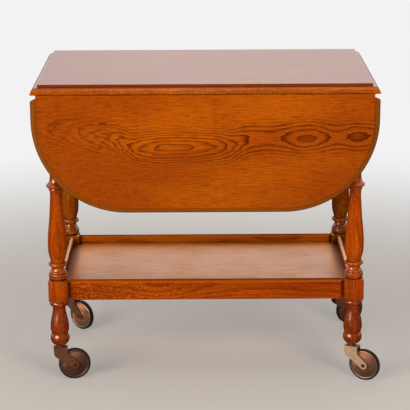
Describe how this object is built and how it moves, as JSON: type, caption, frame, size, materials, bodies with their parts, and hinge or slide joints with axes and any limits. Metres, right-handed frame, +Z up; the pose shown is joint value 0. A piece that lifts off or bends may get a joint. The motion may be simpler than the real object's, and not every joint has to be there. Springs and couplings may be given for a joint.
{
  "type": "drop leaf tea trolley",
  "caption": "Oblong wooden tea trolley with moulded top, hinged drop leaves, turned legs, railed lower tray and swivel casters.",
  "frame": {"origin": "on the floor, under the middle of the whole trolley with its leaves hanging and its casters as they stand", "axes": "+X to the right along the length, +Y to the back leaf, +Z up"},
  "size_m": [0.8122, 0.4988, 0.726],
  "materials": {
    "oak_boards": "varnished oak, satin gloss",
    "oak_legs": "varnished oak, glossy",
    "oak_rails": "varnished oak, satin gloss",
    "oak_tray": "varnished oak, satin",
    "hinge_iron": "dull brown iron",
    "screw_steel": "dull steel",
    "fork_steel": "brown bronzed steel, worn",
    "axle_steel": "dark steel",
    "wheel_disc": "copper brown, lightly rusted",
    "tyre": "old dark rubber"
  },
  "bodies": {
    "frame": {"top_board": "oak_boards", "leg_front_left": "oak_legs", "leg_front_right": "oak_legs", "leg_back_left": "oak_legs", "leg_back_right": "oak_legs", "tray_rail_front": "oak_rails", "tray_rail_back": "oak_rails", "tray_rail_left": "oak_rails", "tray_rail_right": "oak_rails", "upper_rail_front": "oak_rails", "upper_rail_back": "oak_rails", "upper_rail_left": "oak_rails", "upper_rail_right": "oak_rails", "tray_board": "oak_tray", "top_fixing_screws": "screw_steel", "hinge_top_plate_front_left": "hinge_iron", "stay_plate_front_left": "hinge_iron", "hinge_top_plate_front_right": "hinge_iron", "stay_plate_front_right": "hinge_iron", "hinge_top_plate_back_left": "hinge_iron", "stay_plate_back_left": "hinge_iron", "hinge_top_plate_back_right": "hinge_iron", "stay_plate_back_right": "hinge_iron", "hinge_pins": "hinge_iron", "frame_screws": "screw_steel", "caster_sockets": "hinge_iron"},
    "front_leaf": {"leaf_front": "oak_boards", "hinge_leaf_plate_front_left": "hinge_iron", "stay_bracket_front_left": "hinge_iron", "hinge_leaf_plate_front_right": "hinge_iron", "stay_bracket_front_right": "hinge_iron", "stay_rivets_front": "screw_steel", "leaf_screws_front": "screw_steel"},
    "front_left_stay": {"stay_arm_front_left": "hinge_iron"},
    "front_right_stay": {"stay_arm_front_right": "hinge_iron"},
    "back_leaf": {"leaf_back": "oak_boards", "hinge_leaf_plate_back_left": "hinge_iron", "stay_bracket_back_left": "hinge_iron", "hinge_leaf_plate_back_right": "hinge_iron", "stay_bracket_back_right": "hinge_iron", "stay_rivets_back": "screw_steel", "leaf_screws_back": "screw_steel"},
    "back_left_stay": {"stay_arm_back_left": "hinge_iron"},
    "back_right_stay": {"stay_arm_back_right": "hinge_iron"},
    "front_left_caster": {"caster_fork_front_left": "fork_steel", "caster_axle_front_left": "axle_steel"},
    "front_left_wheel": {"wheel_disc_front_left": "wheel_disc", "tyre_front_left": "tyre"},
    "front_right_caster": {"caster_fork_front_right": "fork_steel", "caster_axle_front_right": "axle_steel"},
    "front_right_wheel": {"wheel_disc_front_right": "wheel_disc", "tyre_front_right": "tyre"},
    "back_left_caster": {"caster_fork_back_left": "fork_steel", "caster_axle_back_left": "axle_steel"},
    "back_left_wheel": {"wheel_disc_back_left": "wheel_disc", "tyre_back_left": "tyre"},
    "back_right_caster": {"caster_fork_back_right": "fork_steel", "caster_axle_back_right": "axle_steel"},
    "back_right_wheel": {"wheel_disc_back_right": "wheel_disc", "tyre_back_right": "tyre"}
  },
  "joints": [
    {"name": "front_leaf_hinge", "type": "hinge", "parent": "frame", "child": "front_leaf", "pos_m": [-0.00818, -0.2271, 0.7037], "axis": [-1, 0, 0], "range_deg": [0, 90]},
    {"name": "front_left_stay_pivot", "type": "hinge", "parent": "front_leaf", "child": "front_left_stay", "pos_m": [-0.33068, -0.2181, 0.63025], "axis": [-1, 0, 0], "range_deg": [-45, 0]},
    {"name": "front_right_stay_pivot", "type": "hinge", "parent": "front_leaf", "child": "front_right_stay", "pos_m": [0.31432, -0.2181, 0.63025], "axis": [-1, 0, 0], "range_deg": [-45, 0]},
    {"name": "back_leaf_hinge", "type": "hinge", "parent": "frame", "child": "back_leaf", "pos_m": [-0.00818, 0.2271, 0.7037], "axis": [1, 0, 0], "range_deg": [0, 90]},
    {"name": "back_left_stay_pivot", "type": "hinge", "parent": "back_leaf", "child": "back_left_stay", "pos_m": [-0.33068, 0.2181, 0.63025], "axis": [1, 0, 0], "range_deg": [-45, 0]},
    {"name": "back_right_stay_pivot", "type": "hinge", "parent": "back_leaf", "child": "back_right_stay", "pos_m": [0.31432, 0.2181, 0.63025], "axis": [1, 0, 0], "range_deg": [-45, 0]},
    {"name": "front_left_caster_swivel", "type": "hinge", "parent": "frame", "child": "front_left_caster", "pos_m": [-0.35708, -0.1878, 0.082], "axis": [0, 0, 1], "continuous": true},
    {"name": "front_left_wheel_spin", "type": "hinge", "parent": "front_left_caster", "child": "front_left_wheel", "pos_m": [-0.3244, -0.18321, 0.0381], "axis": [-0.1392, 0.9903, 0], "continuous": true},
    {"name": "front_right_caster_swivel", "type": "hinge", "parent": "frame", "child": "front_right_caster", "pos_m": [0.34072, -0.1878, 0.082], "axis": [0, 0, 1], "continuous": true},
    {"name": "front_right_wheel_spin", "type": "hinge", "parent": "front_right_caster", "child": "front_right_wheel", "pos_m": [0.37013, -0.20278, 0.0381], "axis": [0.454, 0.891, 0], "continuous": true},
    {"name": "back_left_caster_swivel", "type": "hinge", "parent": "frame", "child": "back_left_caster", "pos_m": [-0.35708, 0.1878, 0.082], "axis": [0, 0, 1], "continuous": true},
    {"name": "back_left_wheel_spin", "type": "hinge", "parent": "back_left_caster", "child": "back_left_wheel", "pos_m": [-0.3318, 0.16659, 0.0381], "axis": [0.6428, 0.766, 0], "continuous": true},
    {"name": "back_right_caster_swivel", "type": "hinge", "parent": "frame", "child": "back_right_caster", "pos_m": [0.34072, 0.1878, 0.082], "axis": [0, 0, 1], "continuous": true},
    {"name": "back_right_wheel_spin", "type": "hinge", "parent": "back_right_caster", "child": "back_right_wheel", "pos_m": [0.37038, 0.20227, 0.0381], "axis": [-0.4384, 0.8988, 0], "continuous": true}
  ],
  "couplings": [
    {"joint": "front_left_stay_pivot", "follows": "front_leaf_hinge", "ratio": -0.5},
    {"joint": "front_right_stay_pivot", "follows": "front_leaf_hinge", "ratio": -0.5},
    {"joint": "back_left_stay_pivot", "follows": "back_leaf_hinge", "ratio": -0.5},
    {"joint": "back_right_stay_pivot", "follows": "back_leaf_hinge", "ratio": -0.5}
  ]
}
